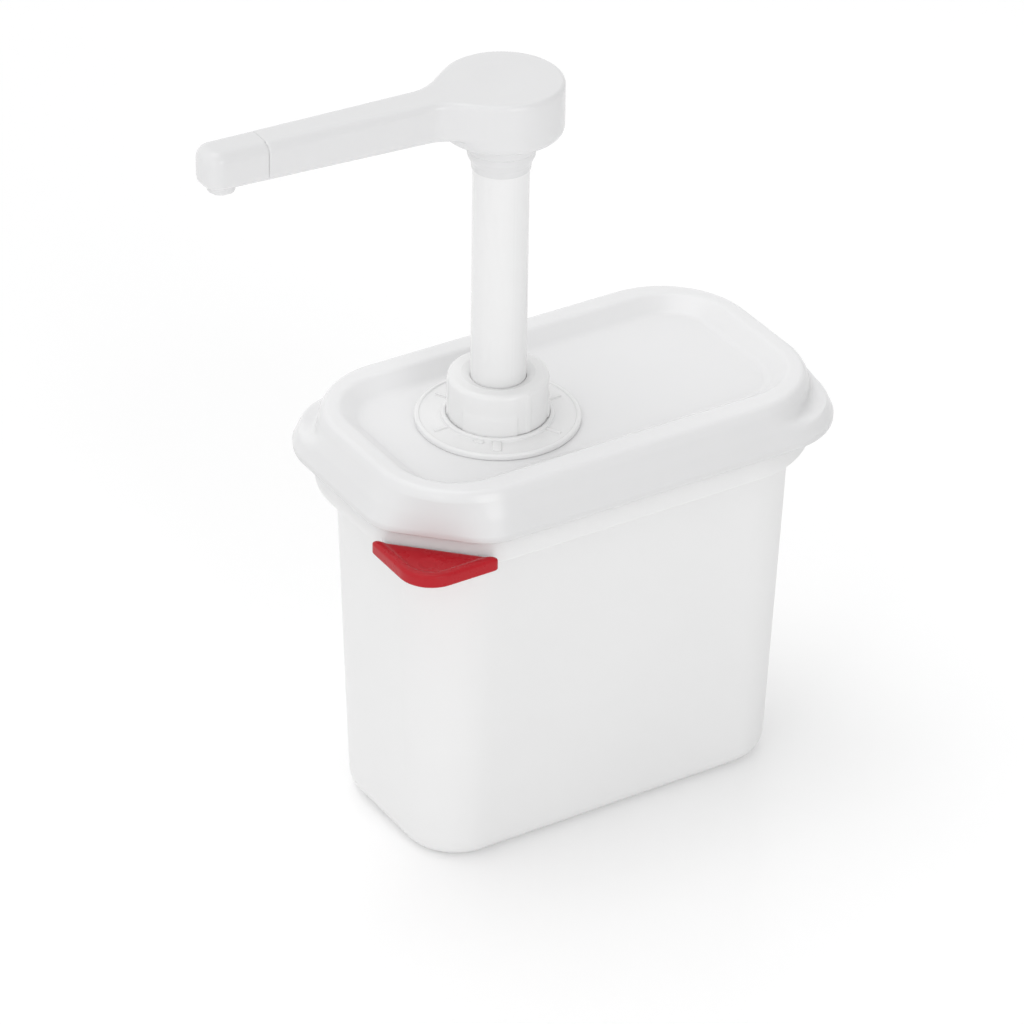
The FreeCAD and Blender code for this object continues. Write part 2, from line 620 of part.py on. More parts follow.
def arm_block(label, near, far, bottom_near, bottom_far, top_near, top_far):
    """A length of the arm: a side view padded to the arm's width, its top edges rounded."""
    body = new_body(label)
    sketch = new_sketch(body, "YZ_Plane")
    polygon(sketch, [(f"-({near})", bottom_near), (f"-({near})", top_near), (f"-({far})", top_far),
                     (f"-({far})", bottom_far)])
    pad(body, sketch, "2 * arm_half", midplane=True)
    return body


def along_arm(root, end, at):
    """A height that runs evenly from the arm's start inside the head to its end."""
    return f"({root}) + ({end} - ({root})) * ({at} - arm_start) / (arm_reach - arm_start)"


ARM_SEAM_LOW = along_arm("arm_low_root", "arm_low_end", "arm_seam")
ARM_SEAM_TOP = along_arm("head_top - arm_step", "arm_top_end", "arm_seam")


def round_long_top(body):
    half, lowest = number("arm_half"), number("arm_bore_z")
    round_edges(body, "arm_round", lambda e: e.BoundBox.ZMin > lowest and e.BoundBox.YLength > 5
                and abs(abs(e.BoundBox.Center.x) - half) < 0.01)


def make_head():
    lower, crown = "head_low", "head_top"
    disc = turned("head_disc", [
        ("0", "ring_high"), ("head_neck", "ring_high"), ("head_neck", lower), ("head_radius", lower),
        ("head_radius", crown), ("0", crown)])
    top, low, wide = number(crown), number(lower), 2 * number("head_radius") - 0.1
    round_edges(disc, "head_round", lambda e: level_at(e, top) and e.BoundBox.XLength > wide)
    round_edges(disc, "head_belly", lambda e: level_at(e, low) and e.BoundBox.XLength > wide)
    arm = arm_block("head_arm", "arm_start", "arm_seam", "arm_low_root", ARM_SEAM_LOW, "head_top - arm_step",
                    ARM_SEAM_TOP)
    round_long_top(arm)
    tongue = rod_along_arm("head_tongue", "tongue_radius", "arm_seam - bite", "tongue_long + bite")
    solid = boolean("Fuse", "head_solid", disc, arm, tongue)
    dish = turned("head_dish", [("0", f"{crown} - dish_depth"), ("0.4 * dish_radius", f"{crown} - dish_depth"),
                                ("dish_radius", crown), ("dish_radius", f"{crown} + bite"),
                                ("0", f"{crown} + bite")])
    tools = [cylinder("head_socket", "socket_bore", "ring_high - bite", "stem_top - ring_high + bite"),
             cylinder("head_chamber", "ball_room", "stem_top - bite", "room_top - stem_top + bite"),
             cylinder("head_oring_groove", "oring_radius", "oring_low", "oring_tall"),
             rod_along_arm("head_passage", "arm_bore", "0", "arm_reach"),
             tip_groove("head_tip_groove"), dish]
    return keep(place_head(boolean("Cut", "pump_head", solid, *tools)))


def rod_along_arm(label, radius, start, length):
    """A rod that lies along the arm, from a distance out."""
    rod = doc.addObject("Part::Cylinder", label)
    rod.setExpression("Radius", bound(radius))
    rod.setExpression("Height", bound(length))
    rod.Placement = FreeCAD.Placement(Vector(0, 0, 0), FreeCAD.Rotation(Vector(1, 0, 0), 90))
    rod.setExpression("Placement.Base.y", bound(f"-({start})"))
    rod.setExpression("Placement.Base.z", bound("arm_bore_z"))
    return rod


def tip_groove(label):
    wide = rod_along_arm(label + "_wide", "tongue_radius + bite", "tip_oring_at", "tip_oring_wide")
    core = rod_along_arm(label + "_core", "tongue_radius - tip_oring_deep", "tip_oring_at - bite",
                         "tip_oring_wide + 2 * bite")
    return boolean("Cut", label, wide, core)


def place_head(part):
    return on_pump_axis(part, "arm_turn")


def make_tip():
    end = arm_block("tip_block", "arm_seam + press", "arm_reach", ARM_SEAM_LOW, "arm_low_end", ARM_SEAM_TOP,
                    "arm_top_end")
    far = -number("arm_reach")
    round_edges(end, "tip_round", lambda e: upright(e) and abs(e.BoundBox.Center.y - far) < 0.1)
    round_long_top(end)
    spout = cylinder("tip_spout", "spout_radius", "spout_low", "arm_bore_z - spout_low", y="-spout_reach")
    solid = boolean("Fuse", "tip_solid", end, spout)
    tools = [rod_along_arm("tip_socket", "tongue_radius + press", "arm_seam - bite",
                           "tongue_long + bite + slack"),
             rod_along_arm("tip_passage", "arm_bore", "arm_seam", "spout_reach - arm_seam"),
             cylinder("tip_drop", "spout_bore", "spout_low - bite", "arm_bore_z - spout_low + bite",
                      y="-spout_reach")]
    keep(place_head(boolean("Cut", "nozzle_tip", solid, *tools)))
    outer = rod_along_arm("tip_oring_outer", "tongue_radius", "tip_oring_at + slack",
                          "tip_oring_wide - 2 * slack")
    inner = rod_along_arm("tip_oring_inner", "tongue_radius - tip_oring_deep + press", "tip_oring_at",
                          "tip_oring_wide")
    keep(place_head(boolean("Cut", "nozzle_oring", outer, inner)))


def make_stem_oring():
    keep(on_pump_axis(ring("stem_oring", "stem_radius + oring_clear", "oring_radius", "oring_low + slack",
                           "oring_low + oring_tall - slack")))


# ---------------------------------------------------------------- build, check and write

def check_document():
    doc.recompute()
    for item in doc.Objects:
        bad = {"Invalid", "Error"} & set(item.State)
        if bad:
            raise ValueError(f"{item.Label} is {sorted(bad)}")
    for label, part in finished.items():
        if part.Shape.isNull() or not part.Shape.isValid():
            raise ValueError(f"{label} has no valid shape")


def write_parts():
    os.makedirs("parts", exist_ok=True)
    for label, part in finished.items():
        part.Shape.exportStep(f"parts/{label}.step")
        solid = part.Shape
        print(f"{label:20s} {len(solid.Solids)} solid {solid.Volume:10.1f} mm3  {solid.BoundBox}")


make_container()
make_clip()
make_lid()
make_flange()
make_lid_fastening()
make_cylinder()
make_foot_valve()
make_guide()
make_collar_nut()
make_spring()
make_piston()
make_stem()
make_outlet_valve()
make_head()
make_tip()
make_stem_oring()
check_document()
write_parts()
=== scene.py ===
"""The looks of the condiment pump dispenser: a food container with its lid and colour clip, and the
pump that stands in the lid. Lengths are millimetres until a mesh is made, and metres after that.
"""
import json
import math
from itertools import product

import bmesh
import bpy
import numpy as np
from mathutils import Matrix, Vector


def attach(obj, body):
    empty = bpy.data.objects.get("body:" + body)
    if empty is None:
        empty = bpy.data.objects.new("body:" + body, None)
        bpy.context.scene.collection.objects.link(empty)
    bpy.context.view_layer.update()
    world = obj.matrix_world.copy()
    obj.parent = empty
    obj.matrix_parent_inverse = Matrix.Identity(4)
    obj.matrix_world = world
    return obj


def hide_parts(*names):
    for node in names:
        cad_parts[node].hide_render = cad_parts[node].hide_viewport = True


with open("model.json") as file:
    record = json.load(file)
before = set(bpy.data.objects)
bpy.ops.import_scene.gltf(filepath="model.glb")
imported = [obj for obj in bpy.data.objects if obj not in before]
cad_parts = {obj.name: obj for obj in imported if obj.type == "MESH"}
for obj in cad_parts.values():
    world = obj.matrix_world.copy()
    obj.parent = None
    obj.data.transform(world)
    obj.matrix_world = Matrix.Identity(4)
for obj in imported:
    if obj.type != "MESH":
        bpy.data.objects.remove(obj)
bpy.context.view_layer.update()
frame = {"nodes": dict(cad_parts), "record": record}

MM = 0.001
PUMP_Y = -26.8                      # the pump's axis stands at x = 0, y = PUMP_Y
ARM_TURN = math.radians(-1.7)       # how far the arm is turned from the -Y direction


# ---------------------------------------------------------------- materials

DRIFT_SCALE, MOTTLE_SCALE, GRAIN_SCALE = 18.0, 260.0, 1400.0
DARKEST, PALEST = 0.975, 1.015      # the colour's drift, as factors
MOTTLE = 0.05                       # how far the roughness strays to either side
GRAIN_STRENGTH, GRAIN_DEPTH = 0.06, 0.02
FACING_UP = 0.95                    # from this Z of its normal on, a surface counts as a top and gets no painted shade
MIX_FACTOR, MIX_A, MIX_B, MIX_OUT = 0, 6, 7, 2      # the Mix node's sockets for colours


def noise(nodes, links, place, scale, detail):
    """The grey output of a noise texture that is fixed to the piece."""
    texture = nodes.new("ShaderNodeTexNoise")
    texture.inputs["Scale"].default_value = scale
    texture.inputs["Detail"].default_value = detail
    links.new(place.outputs["Object"], texture.inputs["Vector"])
    return texture.outputs["Fac"]


def new_material(name, colour, roughness, subsurface=0.0, depth=4.0, specular=0.5, upright=1.0,
                 metallic=0.0):
    """A moulded surface: its colour drifts a little over the piece, and its skin is finely uneven.
    The colour is multiplied by `upright` on walls and undersides, but not on tops: painted shade,
    darker sides standing in for less light falling on them."""
    material = bpy.data.materials.new(name)
    material.use_nodes = True
    nodes, links = material.node_tree.nodes, material.node_tree.links
    shader = nodes["Principled BSDF"]
    shader.inputs["Metallic"].default_value = metallic
    shader.inputs["Subsurface Weight"].default_value = subsurface
    shader.inputs["Subsurface Radius"].default_value = (1.0, 1.0, 1.0)
    shader.inputs["Subsurface Scale"].default_value = depth * MM
    shader.inputs["Specular IOR Level"].default_value = specular
    place = nodes.new("ShaderNodeTexCoord")

    tint = nodes.new("ShaderNodeMix")
    tint.data_type = "RGBA"
    tint.inputs[MIX_A].default_value = (*(DARKEST * c for c in colour), 1)
    tint.inputs[MIX_B].default_value = (*(min(1.0, PALEST * c) for c in colour), 1)
    links.new(noise(nodes, links, place, DRIFT_SCALE, 3.0), tint.inputs[MIX_FACTOR])
    # painted shade: the base colour is scaled by `upright` where the normal does not face up, so
    # walls and undersides look less lit
    facing = nodes.new("ShaderNodeNewGeometry")
    split = nodes.new("ShaderNodeSeparateXYZ")
    links.new(facing.outputs["Normal"], split.inputs[0])
    painted_side_shade = nodes.new("ShaderNodeMapRange")
    painted_side_shade.inputs["From Max"].default_value = FACING_UP
    painted_side_shade.inputs["To Min"].default_value = upright
    links.new(split.outputs["Z"], painted_side_shade.inputs["Value"])
    side_shaded_colour = nodes.new("ShaderNodeVectorMath")
    side_shaded_colour.operation = "SCALE"
    links.new(tint.outputs[MIX_OUT], side_shaded_colour.inputs[0])
    links.new(painted_side_shade.outputs["Result"], side_shaded_colour.inputs["Scale"])
    links.new(side_shaded_colour.outputs["Vector"], shader.inputs["Base Color"])

    spread = nodes.new("ShaderNodeMapRange")
    spread.inputs["To Min"].default_value = roughness - MOTTLE
    spread.inputs["To Max"].default_value = roughness + MOTTLE
    links.new(noise(nodes, links, place, MOTTLE_SCALE, 4.0), spread.inputs["Value"])
    links.new(spread.outputs["Result"], shader.inputs["Roughness"])

    bump = nodes.new("ShaderNodeBump")
    bump.inputs["Strength"].default_value = GRAIN_STRENGTH
    bump.inputs["Distance"].default_value = GRAIN_DEPTH * MM
    links.new(noise(nodes, links, place, GRAIN_SCALE, 2.0), bump.inputs["Height"])
    links.new(bump.outputs["Normal"], shader.inputs["Normal"])
    return material


MATERIALS = {
    "container_pp": new_material("container_pp", (0.83, 0.83, 0.83), 0.42,
                                 subsurface=0.12, depth=1.5, specular=0.4),
    # upright=0.86 paints shade on the lid's walls and skirts, so they come out darker than its top
    "lid_pp": new_material("lid_pp", (0.83, 0.83, 0.835), 0.24,
                           subsurface=0.1, depth=1.5, specular=0.45, upright=0.86),
    "pump_white": new_material("pump_white", (0.75, 0.75, 0.755), 0.24, subsurface=0.1, depth=1.5),
    # a paler copy of pump_white for the disc, nut and stem: painted light standing in for bounce
    # light under the head
    "pump_white_painted_light": new_material("pump_white_painted_light", (0.84, 0.84, 0.84), 0.24, subsurface=0.1, depth=1.5),
    "inner_pp": new_material("inner_pp", (0.78, 0.78, 0.76), 0.4, subsurface=0.3, depth=3.0),
    "clip_red": new_material("clip_red", (0.46, 0.014, 0.022), 0.28, depth=1.0, specular=0.2),
    "silicone": new_material("silicone", (0.7, 0.7, 0.67), 0.55, subsurface=0.2, depth=2.0),
    "stainless": new_material("stainless", (0.62, 0.62, 0.61), 0.24, metallic=1.0),
}


# ---------------------------------------------------------------- mesh tools

def add_piece(name, vertices, faces, body, slot, nodes, sharp=35.0, look=None):
    """A mesh in millimetres becomes a piece that rides on a body and stands for some nodes."""
    mesh = bpy.data.meshes.new(name)
    mesh.from_pydata((np.asarray(vertices, float) * MM).tolist(), [],
                     [tuple(map(int, face)) for face in faces])
    mesh.validate()
    shell = bmesh.new()
    shell.from_mesh(mesh)
    bmesh.ops.recalc_face_normals(shell, faces=shell.faces)
    shell.to_mesh(mesh)
    shell.free()
    mesh.polygons.foreach_set("use_smooth", [True] * len(mesh.polygons))
    mesh.set_sharp_from_angle(angle=math.radians(sharp))
    mesh.materials.append(MATERIALS[look or slot])
    piece = bpy.data.objects.new(name, mesh)
    bpy.context.scene.collection.objects.link(piece)
    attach(piece, body)
    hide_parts(*nodes)


def joined(*parts):
    """Several (vertices, faces) meshes as one."""
    vertices, faces, start = [], [], 0
    for points, polygons in parts:
        vertices.append(np.asarray(points, float))
        faces += [tuple(start + k for k in polygon) for polygon in polygons]
        start += len(points)
    return np.concatenate(vertices), faces


def arc_between(start, centre, end, steps):
    """Points along a circular arc from start to end, both ends included."""
    a, b = start - centre, end - centre
    turn = math.acos(np.clip(a @ b / (np.linalg.norm(a) * np.linalg.norm(b)), -1, 1))
    return [centre + (a * math.sin((1 - t) * turn) + b * math.sin(t * turn)) / math.sin(turn)
            for t in np.linspace(0, 1, steps + 1)]


def rounded_line(corners, closed=True, steps=5):
    """A line through (across, up, radius) corners, with an arc at each corner that has a radius."""
    points = []
    places = [np.array(corner[:2], float) for corner in corners]
    for k, (here, (_, _, radius)) in enumerate(zip(places, corners)):
        at_end = not closed and k in (0, len(corners) - 1)
        if radius == 0 or at_end:
            points.append(here)
            continue
        back = places[k - 1] - here
        onward = places[(k + 1) % len(corners)] - here
        back, onward = back / np.linalg.norm(back), onward / np.linalg.norm(onward)
        half = 0.5 * math.acos(np.clip(back @ onward, -1, 1))
        middle = (back + onward) / np.linalg.norm(back + onward)
        reach = radius / math.tan(half)
        points += arc_between(here + back * reach, here + middle * radius / math.sin(half),
                              here + onward * reach, steps)
    return np.array(points)


def rows_of_quads(rows, columns, wrap_rows):
    """Faces of a sheet of rows, each a closed loop of columns."""
    faces = []
    for row in range(rows if wrap_rows else rows - 1):
        after = (row + 1) % rows
        for column in range(columns):
            beside = (column + 1) % columns
            faces.append((row * columns + column, row * columns + beside,
                          after * columns + beside, after * columns + column))
    return faces


def lathe(corners, segments=128, shape=None, steps=5):
    """A closed profile of (radius, height, round) corners turned about the pump's axis."""
    profile = rounded_line(corners, steps=steps)
    angle = np.linspace(0, 2 * math.pi, segments, endpoint=False)
    radius = np.repeat(profile[:, :1], segments, axis=1)
    height = np.repeat(profile[:, 1:], segments, axis=1)
    if shape:
        radius = shape(radius, height, angle[None, :])
    points = np.stack([radius * np.cos(angle), PUMP_Y + radius * np.sin(angle), height], axis=-1)
    return points.reshape(-1, 3), rows_of_quads(len(profile), segments, True)


def loft(rings, wrap=False, capped=False):
    """A skin over rings that all have the same number of points."""
    count = len(rings[0])
    faces = rows_of_quads(len(rings), count, wrap)
    if capped:
        faces.append(tuple(reversed(range(count))))
        faces.append(tuple(range((len(rings) - 1) * count, len(rings) * count)))
    return np.concatenate(rings), faces


def ease(t):
    """0 up to t = 0, 1 from t = 1 on, and smooth in between."""
    t = np.clip(t, 0, 1)
    return t * t * (3 - 2 * t)


# ---------------------------------------------------------------- plan outlines

CORNER_POINTS, LONG_POINTS, SHORT_POINTS = 36, 24, 14
FINE_POINTS = 40                    # on each round of a cut corner, before they are spread evenly
EAR_POWER = 1.4                     # the higher, the shorter the pull-tab ears


def along_line(line, places):
    """Points at places from 0 to 1 along a line, by length."""
    length = np.concatenate([[0], np.cumsum(np.linalg.norm(np.diff(line, axis=0), axis=1))])
    return np.stack([np.interp(places * length[-1], length, line[:, k]) for k in (0, 1)], axis=1)


def corner_curve(half_x, half_y, radius, cut):
    """One corner from the X side round to the Y side: a round, or a cut at 45 degrees along the
    line x + y = cut with a round at each of its ends."""
    if cut is None:
        centre = np.array((half_x - radius, half_y - radius))
        turns = np.linspace(0, math.pi / 2, CORNER_POINTS)
        return centre + radius * np.stack([np.cos(turns), np.sin(turns)], axis=1)
    reach = radius * math.tan(math.pi / 8)
    first = np.array((half_x - radius, cut - half_x - reach))
    last = np.array((cut - half_y - reach, half_y - radius))
    turns = np.linspace(0, math.pi / 4, FINE_POINTS)
    line = np.concatenate([centre + radius * np.stack([np.cos(turn), np.sin(turn)], axis=1)
                           for centre, turn in ((first, turns), (last, turns + math.pi / 4))])
    return along_line(line, np.linspace(0, 1, CORNER_POINTS))


class Outline:
    """An oblong seen from above. Its corners at (+X, +Y) and (-X, -Y) are plain rounds, and the
    other two may be cut."""

    def __init__(self, half_x, half_y, radius, cut=None, cut_radius=None):
        self.sizes = half_x, half_y, radius, cut, cut_radius or radius

    def ring(self, height, grow=0.0):
        """The outline at a height, grown outwards by a distance."""
        half_x, half_y, radius, cut, cut_radius = self.sizes
        half_x, half_y, radius, cut_radius = (size + grow
                                              for size in (half_x, half_y, radius, cut_radius))
        cut = None if cut is None else cut + math.sqrt(2) * grow
        plain = corner_curve(half_x, half_y, radius, None)
        other = corner_curve(half_x, half_y, cut_radius, cut)[::-1]
        corners = [plain, other * (-1, 1), plain * (-1, -1), other * (1, -1)]
        points = []
        for k, corner in enumerate(corners):
            onward = corners[(k + 1) % 4][0]
            count = SHORT_POINTS if k % 2 == 0 else LONG_POINTS
            share = np.linspace(0, 1, count + 2)[1:-1, None]
            points += [corner, corner[-1] + share * (onward - corner[-1])]
        plan = np.concatenate(points)
        return np.column_stack([plan, np.full(len(plan), float(height))])

    def edge(self, corners, steps):
        """Rings that follow an open line of (grow, height, round) corners."""
        return [self.ring(height, grow)
                for grow, height in rounded_line(corners, closed=False, steps=steps)]


def between(first, last, count):
    """Rings between two others, ends left out."""
    return [first + t * (last - first) for t in np.linspace(0, 1, count + 2)[1:-1]]


def corner_weight():
    """1 in the middle of the two plain corners, and 0 along the sides and at the two others."""
    bump = np.sin(np.linspace(0, math.pi, CORNER_POINTS)) ** EAR_POWER
    rest = np.zeros(SHORT_POINTS + CORNER_POINTS + LONG_POINTS)
    return np.concatenate([bump, rest, bump, rest])[:, None]


def around_point(ring, centre, radius, height):
    """A circle whose points lie in the directions of a ring's points from the circle's centre."""
    away = ring[:, :2] - centre
    away /= np.linalg.norm(away, axis=1)[:, None]
    return np.column_stack([centre + radius * away, np.full(len(ring), float(height))])


# ---------------------------------------------------------------- container

WALL = 1.6
RIM_TOP, RIM_LOW = 141.5, 128.7
DRAFT, RIM_DRAFT = math.tan(math.radians(2.0)), math.tan(math.radians(11.5))
TUB = Outline(36.4, 72.1, 20.0)                     # the tub's foot
RIM = Outline(50.2, 86.0, 40.0, 109.5, 18.0)        # the rim's lower edge
FOOT_ROUND, FLOOR_ROUND = 8.0, 6.4
RIM_ROUND, MOUTH_ROUND = 1.8, 0.8
FLOOR_MIDDLE = 0.05                 # the size of the middle of foot and floor, as a share


def make_container():
    """The tub and its hollow rim: up the outside, out and down inside the rim, up its outside, over
    the top and down the inside to the floor."""
    shelf = RIM_TOP - WALL
    rim_at_shelf, rim_at_top = (-RIM_DRAFT * (height - RIM_LOW) for height in (shelf, RIM_TOP))
    mouth_at_top = DRAFT * RIM_TOP - WALL
    outside = TUB.edge([(-14, 0, 0), (0, 0, FOOT_ROUND), (DRAFT * shelf, shelf, 0)], 10)
    rim = RIM.edge([
        (rim_at_shelf - WALL, shelf, 0), (-WALL, RIM_LOW, 0.5), (0, RIM_LOW, 0.6),
        (rim_at_top, RIM_TOP, RIM_ROUND), (rim_at_top - 1.6, RIM_TOP, 0)], 6)
    inside = TUB.edge([
        (mouth_at_top + 0.9, RIM_TOP, 0), (mouth_at_top, RIM_TOP, MOUTH_ROUND),
        (-WALL, WALL, FLOOR_ROUND), (-16, WALL, 0)], 10)
    foot_middle, floor_middle = (ring * (FLOOR_MIDDLE, FLOOR_MIDDLE, 1)
                                 for ring in (outside[0], inside[-1]))
    return loft([
        foot_middle, *between(foot_middle, outside[0], 5), *outside,
        *between(outside[-1], rim[0], 1), *rim,
        *between(rim[-1], inside[0], 2), *inside,
        *between(inside[-1], floor_middle, 5), floor_middle], capped=True)


# ---------------------------------------------------------------- lid

LID_LOW, LID_TOP, LID_WALL = 137.5, 154.75, 1.5
PANEL_Z = 150.0                     # the sunk panel's top
PANEL_SLOPE = math.tan(math.radians(55.8))
SKIRT = Outline(52.0, 88.5, 28.0, 112.5, 18.0)
CREASE = Outline(47.0, 82.5, 32.8)  # the edge round the lid's top
PANEL = Outline(31.5, 69.0, 16.0)
SEAT = Outline(43.6, 79.6, 30.0, 104.6, 18.0)       # the rib that rests on the container's rim
PLUG = Outline(38.4, 74.0, 22.0)                    # the rib that presses into its mouth
HOLE = 17.9
LIP = 2.2                           # the skirt's height below its shoulder
SEAT_LOW, PLUG_LOW = RIM_TOP + 0.02, 136.0
SIDE_LINE = [(0, 0, 0), (0.55, 0.50, 1.2), (1, 1, 0)]
EAR_LINE = [(0, 0, 0), (0.07, 0.58, 0.2), (0.74, 0.55, 0.12), (1, 1, 0)]


def evenly(corners, steps, count):
    """Points at even distances along an open line of corners, its two ends left out."""
    line = rounded_line(corners, closed=False, steps=steps)
    return along_line(line, np.linspace(0, 1, count + 2)[1:-1])


def shoulder(crease, skirt, count):
    """Rings from the top's crease out to the skirt: nearly straight along the sides, but at the two
    pull-tab corners steep at first and then out along a shelf to a rounded ear."""
    weight = corner_weight()
    rings = []
    for (side_out, side_down), (ear_out, ear_down) in zip(evenly(SIDE_LINE, 8, count),
                                                          evenly(EAR_LINE, 10, count)):
        out = side_out + weight * (ear_out - side_out)
        down = side_down + weight * (ear_down - side_down)
        rings.append(crease + np.hstack([out, out, down]) * (skirt - crease))
    return rings


def make_lid():
    """The lid's skin from the pump's hole out to the skirt, and back below."""
    lip_top, under_top, under_panel = LID_LOW + LIP, LID_TOP - LID_WALL, PANEL_Z - LID_WALL
    reach = PANEL_SLOPE * (LID_TOP - PANEL_Z)
    well = PANEL.edge([(-6, PANEL_Z, 0), (0, PANEL_Z, 6.0), (reach, LID_TOP, 4.0),
                       (reach + 1.4, LID_TOP, 0)], 8)
    brow = CREASE.edge([(-4.0, LID_TOP, 0), (-1.2, LID_TOP, 2.6), (0.6, LID_TOP - 3.2, 0)], 7)
    lip = SKIRT.edge([(0, lip_top, 0), (0.0, LID_LOW, 0.7), (-LID_WALL, LID_LOW, 0.5),
                      (-LID_WALL, lip_top, 0)], 5)
    inner_skirt = SKIRT.ring(lip_top, -LID_WALL)
    inner_brow = CREASE.ring(under_top - 2.4, -LID_WALL)
    inner_edge = CREASE.ring(under_top, -LID_WALL - 0.6)
    seat_top, plug_top = under_top - 1.2, under_top - 3.4
    seat = SEAT.edge([(0, seat_top, 0), (0, SEAT_LOW, 0.3), (-LID_WALL, SEAT_LOW, 0.3),
                      (-LID_WALL, seat_top, 0)], 3)
    plug = PLUG.edge([(0, plug_top, 0), (0, PLUG_LOW, 0.5), (-LID_WALL, PLUG_LOW, 0.5),
                      (-LID_WALL, plug_top, 0)], 3)
    under_well = PANEL.edge([(2.4, plug_top - 0.6, 0), (0.5, under_panel, 1.5),
                             (-6, under_panel, 0)], 5)
    axis = np.array((0, PUMP_Y))
    hole_top, hole_low = (around_point(well[0], axis, HOLE, height)
                          for height in (PANEL_Z, under_panel))
    return loft([
        hole_top, *between(hole_top, well[0], 6), *well,
        *between(well[-1], brow[0], 2), *brow,
        *shoulder(brow[-1], lip[0], 22), *lip,
        *reversed(shoulder(inner_brow, inner_skirt, 12)), inner_brow, inner_edge,
        *seat, *plug, *under_well,
        *between(under_well[-1], hole_low, 6), hole_low], wrap=True)


add_piece("lid_shell", *make_lid(), "lid", "lid_pp", ["lid"])


# ---------------------------------------------------------------- pump parts turned about the axis

FRONT = -32.2                       # degrees: the side of disc and nut that the first rib marks
DISC_LOW, DISC_FLOOR, DISC_TOP = 150.0, 151.6, 152.1
RING_TOP, NECK_FOOT, NECK_TOP = 152.9, 152.35, 159.7
SPIGOT_LOW, SPIGOT, BORE = 139.5, 17.6, 13.0
DISC_RADIUS, NECK = 28.25, 15.3
RING_IN, RING_OUT = 17.65, 19.1
RIB_LOW, RIB_TOP, RIB_EASE = 151.0, 152.2, 0.25
NUT_LOW, NUT_TOP, NUT_RADIUS, NUT_BORE = 152.5, 168.0, 17.2, 15.5
NUT_MOUTH, NUT_THROAT, THROAT_LOW, THROAT_TOP = 12.5, 9.52, 163.85, 166.9
PAD_HIGH, BAR_HIGH, PAD_TOP = 0.38, 0.22, 161.0
PAD_START, PAD_WIDE, BAR_FROM, BAR_TO = 43.0, 67.0, 76.0, 84.0      # degrees
STEM_RING_BORE = 9.46
NECK_LOW = 253.5                    # where the ring on the stem meets the head's neck


def turned_about_pump(points, degrees):
    """Points made about the origin, turned and set on the pump's axis."""
    c, s = math.cos(math.radians(degrees)), math.sin(math.radians(degrees))
    x, y, z = points.T
    return np.column_stack([c * x - s * y, PUMP_Y + s * x + c * y, z])


def spoke_box(near, far, half_wide, turn):
    """A rib on the disc that runs out from the axis, its edges eased."""
    line = rounded_line([(near, -half_wide, 0.1), (far, -half_wide, RIB_EASE),
                         (far, half_wide, RIB_EASE), (near, half_wide, 0.1)], steps=3)
    middle = line.mean(axis=0)
    rings = []
    for shrink, height in ((0, RIB_LOW), (0, RIB_TOP - RIB_EASE),
                           (0.3 * RIB_EASE, RIB_TOP - 0.3 * RIB_EASE), (RIB_EASE, RIB_TOP)):
        plan = line - np.sign(line - middle) * shrink
        rings.append(np.column_stack([plan, np.full(len(plan), height)]))
    points, faces = loft(rings, capped=True)
    return turned_about_pump(points, turn), faces


def make_flange():
    """The disc on the lid: a spigot below, a lip and a raised ring on top, a neck, and ribs between
    ring and lip, of which the front one is wide and has a small block beside it."""
    disc = lathe([
        (BORE, SPIGOT_LOW, 0.3), (SPIGOT, SPIGOT_LOW, 0.4), (SPIGOT, DISC_LOW, 0.4),
        (DISC_RADIUS, DISC_LOW, 0.5), (DISC_RADIUS, DISC_TOP, 0.7), (26.7, DISC_TOP, 0.5),
        (26.5, DISC_FLOOR, 0.4), (RING_OUT, DISC_FLOOR, 0.3), (RING_OUT, RING_TOP, 0.5),
        (RING_IN, RING_TOP, 0.3), (RING_IN, NECK_FOOT, 0.1), (NECK, NECK_FOOT, 0.1),
        (NECK, NECK_TOP, 0.4), (BORE, NECK_TOP, 0.3)], segments=192, steps=4)
    ribs = [spoke_box(18.5, 24.5, 0.5 if k else 1.5, FRONT + 60 * k) for k in range(6)]
    return joined(disc, *ribs, spoke_box(18.5, 20.6, 1.6, -50.0))


def grip_pads(radius, height, angle):
    """Raises three wide pads and three narrow bars on the nut's wall."""
    wall = ease((radius - (NUT_RADIUS - 0.6)) / 0.5)
    turn = np.mod(np.degrees(angle) - FRONT + PAD_START, 120.0)
    pad = ease(turn / 1.5) * ease((PAD_WIDE - turn) / 1.5) * ease((PAD_TOP - height) / 3.0)
    bar = ease((turn - BAR_FROM) / 1.2) * ease((BAR_TO - turn) / 1.2)
    return radius + wall * (PAD_HIGH * pad + BAR_HIGH * bar)


def make_collar_nut():
    """The nut; its wall has extra rows of points where the pads fade out towards the top."""
    rows = (156.0, 158.0, 158.5, 159.0, 159.5, 160.0, 160.4, 162.0)
    return lathe([
        (NUT_BORE, NUT_LOW, 0.2), (NUT_RADIUS, NUT_LOW, 0.3),
        *((NUT_RADIUS, height, 0) for height in rows), (NUT_RADIUS, NUT_TOP, 1.8),
        (NUT_MOUTH, NUT_TOP, 0.8), (NUT_THROAT, THROAT_TOP, 0.2), (NUT_THROAT, THROAT_LOW, 0.2),
        (NUT_BORE, THROAT_LOW, 0.2)], segments=360, shape=grip_pads, steps=6)


def make_lock_ring():
    """The stepped ring round the stem, just below the head."""
    return lathe([
        (STEM_RING_BORE, 246.0, 0.05), (9.9, 246.0, 0.15), (10.1, 248.2, 0.4), (11.3, 250.9, 0.3),
        (11.3, NECK_LOW, 0.35), (STEM_RING_BORE, NECK_LOW, 0.05)], steps=4)


# The disc and nut wear the paler copy of pump_white: painted light in place of bounce light.
add_piece("pump_disc", *make_flange(), "lid", "pump_white", ["pump_flange"], look="pump_white_painted_light")
add_piece("nut_shell", *make_collar_nut(), "lid", "pump_white", ["collar_nut"], look="pump_white_painted_light")
add_piece("stem_ring", *make_lock_ring(), "head", "pump_white", ["stem_lock_ring"])


# ---------------------------------------------------------------- press head, arm and tip

